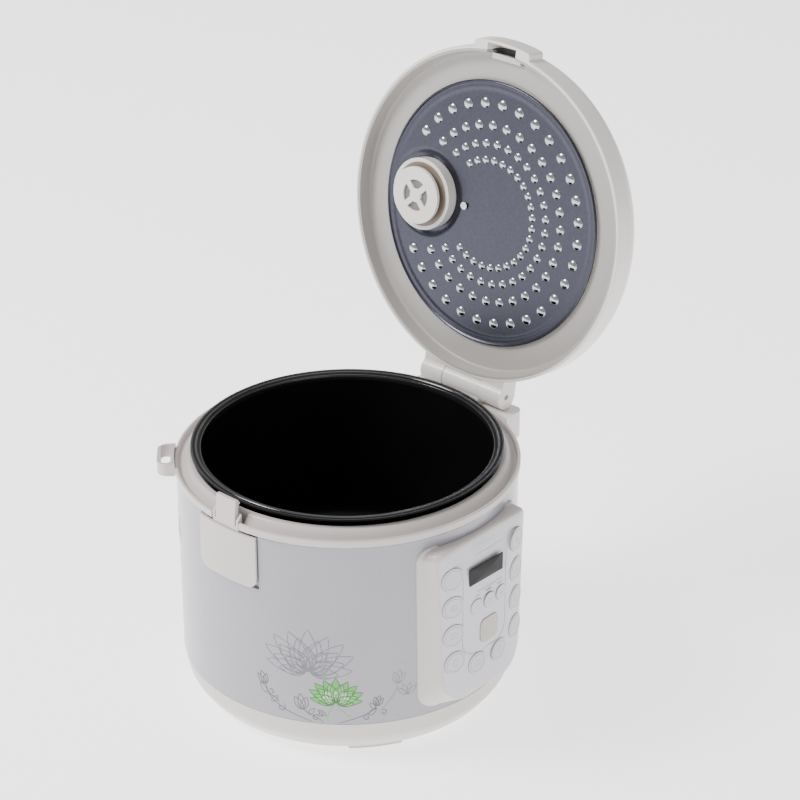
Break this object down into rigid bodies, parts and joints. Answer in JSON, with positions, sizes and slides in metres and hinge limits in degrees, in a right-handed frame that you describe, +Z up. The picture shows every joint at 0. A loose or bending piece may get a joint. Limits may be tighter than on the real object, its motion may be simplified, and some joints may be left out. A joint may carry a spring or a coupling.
{
  "type": "rice_cooker",
  "caption": "Countertop rice cooker with a hinged lid, lift-out non-stick pot, side control panel and front push release",
  "frame": {"origin": "on the floor under the middle of the round body, level with the undersides of the feet", "axes": "+Z up, -Y towards the front push release, +Y towards the lid hinge, +X towards the control panel"},
  "size_m": [0.2971, 0.3694, 0.512],
  "materials": {
    "cream_plastic": "satin",
    "shell_coat": "smooth satin",
    "lid_plastic": "gloss",
    "liner_plastic": "satin",
    "steel_plate": "anodised satin",
    "nonstick": "glossy non-stick coating",
    "cast_heater": "cast",
    "steel": "plain",
    "rubber_pad": "moulded",
    "seal": "silicone",
    "board_green": "laminate",
    "dark_plastic": "moulded",
    "overlay_white": "film",
    "display_dark": "tinted window",
    "key_white": "satin",
    "key_beige": "satin"
  },
  "bodies": {
    "body": {"base_pan": "cream_plastic", "feet": "rubber_pad", "bottom_cover": "dark_plastic", "bottom_screws": "steel", "outer_shell": "shell_coat", "top_ring": "cream_plastic", "inner_chamber": "steel_plate", "heating_plate": "cast_heater", "heating_element": "steel", "plate_supports": "cast_heater", "sensor_cup": "steel", "thermal_fuse": "steel", "power_board": "board_green", "board_posts": "dark_plastic", "power_parts": "dark_plastic", "mains_inlet": "dark_plastic", "inlet_pins": "steel", "panel_housing": "cream_plastic", "panel_overlay": "overlay_white", "display_lens": "display_dark", "display_module": "dark_plastic", "control_board": "board_green", "board_spacers": "dark_plastic", "tact_switches": "dark_plastic", "scoop_holder": "cream_plastic", "hinge_bracket": "lid_plastic", "hinge_pin": "steel", "lid_spring": "steel", "latch_pin": "steel", "latch_bracket": "steel", "latch_spring": "steel"},
    "sensor": {"sensor_cap": "steel_plate", "sensor_spring": "steel"},
    "pot": {"inner_pot": "nonstick"},
    "latch": {"release_plate": "cream_plastic", "latch_hook": "cream_plastic"},
    "lid": {"lid_outer": "lid_plastic", "lid_inner_ring": "liner_plastic", "dimpled_plate": "steel_plate", "plate_gasket": "seal", "plate_screw": "steel", "valve_base": "lid_plastic", "latch_keeper": "steel", "lid_screws": "steel", "steam_grille": "dark_plastic"},
    "steam_cap": {"valve_cap": "lid_plastic"},
    "key_left_1": {"key_left_1": "key_white"},
    "key_left_2": {"key_left_2": "key_white"},
    "key_left_3": {"key_left_3": "key_white"},
    "key_left_4": {"key_left_4": "key_white"},
    "key_right_1": {"key_right_1": "key_white"},
    "key_right_2": {"key_right_2": "key_white"},
    "key_right_3": {"key_right_3": "key_white"},
    "key_right_4": {"key_right_4": "key_white"},
    "key_bottom_1": {"key_bottom_1": "key_white"},
    "key_bottom_2": {"key_bottom_2": "key_white"},
    "key_small_1": {"key_small_1": "key_white"},
    "key_small_2": {"key_small_2": "key_white"},
    "key_small_3": {"key_small_3": "key_white"},
    "key_start": {"key_start": "key_beige"}
  },
  "joints": [
    {"name": "lid_hinge", "type": "hinge", "parent": "body", "child": "lid", "pos_m": [0, 0.1503, 0.2162], "axis": [-1, 0, 0], "range_deg": [-98.8, 0]},
    {"name": "release_press", "type": "hinge", "parent": "body", "child": "latch", "pos_m": [0, -0.1315, 0.187], "axis": [1, 0, 0], "range_deg": [0, 4], "stiffness_Nm_per_rad": 0.6, "springref_deg": -2.86},
    {"name": "pot_lift", "type": "slide", "parent": "body", "child": "pot", "axis": [0, 0, 1], "range_m": [0, 0.16]},
    {"name": "sensor_press", "type": "slide", "parent": "body", "child": "sensor", "axis": [0, 0, 1], "range_m": [-0.003, 0], "stiffness_N_per_m": 400, "springref_m": 0.001, "deforming": ["sensor_spring"]},
    {"name": "steam_cap_pull", "type": "slide", "parent": "lid", "child": "steam_cap", "axis": [0, -0.9882, 0.153], "range_m": [0, 0.03]},
    {"name": "key_left_1_press", "type": "slide", "parent": "body", "child": "key_left_1", "axis": [-0.9664, 0.2571, 0], "range_m": [0, 0.0006], "stiffness_N_per_m": 500, "springref_m": -0.0002},
    {"name": "key_left_2_press", "type": "slide", "parent": "body", "child": "key_left_2", "axis": [-0.9681, 0.2504, 0], "range_m": [0, 0.0006], "stiffness_N_per_m": 500, "springref_m": -0.0002},
    {"name": "key_left_3_press", "type": "slide", "parent": "body", "child": "key_left_3", "axis": [-0.9694, 0.2453, 0], "range_m": [0, 0.0006], "stiffness_N_per_m": 500, "springref_m": -0.0002},
    {"name": "key_left_4_press", "type": "slide", "parent": "body", "child": "key_left_4", "axis": [-0.972, 0.2351, 0], "range_m": [0, 0.0006], "stiffness_N_per_m": 500, "springref_m": -0.0002},
    {"name": "key_right_1_press", "type": "slide", "parent": "body", "child": "key_right_1", "axis": [-0.969, -0.247, 0], "range_m": [0, 0.0006], "stiffness_N_per_m": 500, "springref_m": -0.0002},
    {"name": "key_right_2_press", "type": "slide", "parent": "body", "child": "key_right_2", "axis": [-0.969, -0.247, 0], "range_m": [0, 0.0006], "stiffness_N_per_m": 500, "springref_m": -0.0002},
    {"name": "key_right_3_press", "type": "slide", "parent": "body", "child": "key_right_3", "axis": [-0.969, -0.247, 0], "range_m": [0, 0.0006], "stiffness_N_per_m": 500, "springref_m": -0.0002},
    {"name": "key_right_4_press", "type": "slide", "parent": "body", "child": "key_right_4", "axis": [-0.969, -0.247, 0], "range_m": [0, 0.0006], "stiffness_N_per_m": 500, "springref_m": -0.0002},
    {"name": "key_bottom_1_press", "type": "slide", "parent": "body", "child": "key_bottom_1", "axis": [-0.9962, 0.0872, 0], "range_m": [0, 0.0006], "stiffness_N_per_m": 500, "springref_m": -0.0002},
    {"name": "key_bottom_2_press", "type": "slide", "parent": "body", "child": "key_bottom_2", "axis": [-0.9962, -0.0872, 0], "range_m": [0, 0.0006], "stiffness_N_per_m": 500, "springref_m": -0.0002},
    {"name": "key_small_1_press", "type": "slide", "parent": "body", "child": "key_small_1", "axis": [-0.9954, 0.0958, 0], "range_m": [0, 0.0006], "stiffness_N_per_m": 500, "springref_m": -0.0002},
    {"name": "key_small_2_press", "type": "slide", "parent": "body", "child": "key_small_2", "axis": [-1, 0, 0], "range_m": [0, 0.0006], "stiffness_N_per_m": 500, "springref_m": -0.0002},
    {"name": "key_small_3_press", "type": "slide", "parent": "body", "child": "key_small_3", "axis": [-0.9954, -0.0958, 0], "range_m": [0, 0.0006], "stiffness_N_per_m": 500, "springref_m": -0.0002},
    {"name": "key_start_press", "type": "slide", "parent": "body", "child": "key_start", "axis": [-1, 0, 0], "range_m": [0, 0.0006], "stiffness_N_per_m": 500, "springref_m": -0.0002}
  ]
}
